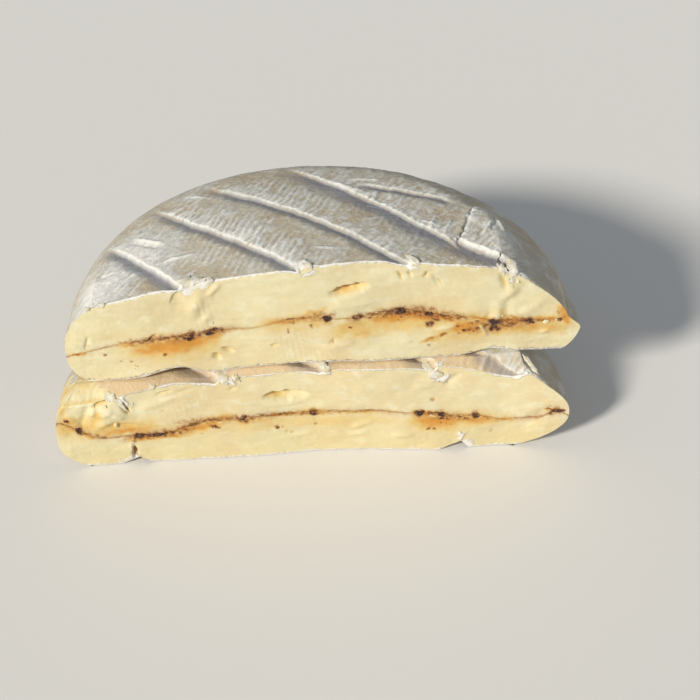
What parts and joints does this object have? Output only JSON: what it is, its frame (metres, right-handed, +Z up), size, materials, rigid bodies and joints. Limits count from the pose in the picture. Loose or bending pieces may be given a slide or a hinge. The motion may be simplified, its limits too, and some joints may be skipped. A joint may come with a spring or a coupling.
{
  "type": "filled soft cheese",
  "caption": "Soft white-rinded cheese cut in two across its middle, the half rounds stacked with their cut faces to the front; a thin dark spiced filling runs level through each.",
  "frame": {"origin": "bottom centre of the bounding box of the whole stack: on the ground, midway along the cut and midway from the cut faces to the back of the rim", "axes": "+X along the cut to the right as seen from in front of the cut faces, +Y away from the cut faces towards the round rim, +Z up"},
  "size_m": [0.1166, 0.0602, 0.0532],
  "materials": {
    "paste": "pale cream soft paste, faintly moist, inside a bloomy grey-white rind",
    "filling": "thin dark brown spiced spread, its amber juice soaked into the paste around it"
  },
  "bodies": {
    "root": {"upper_top_layer": "paste", "upper_filling": "filling", "upper_bottom_layer": "paste", "lower_top_layer": "paste", "lower_filling": "filling", "lower_bottom_layer": "paste"}
  },
  "joints": []
}
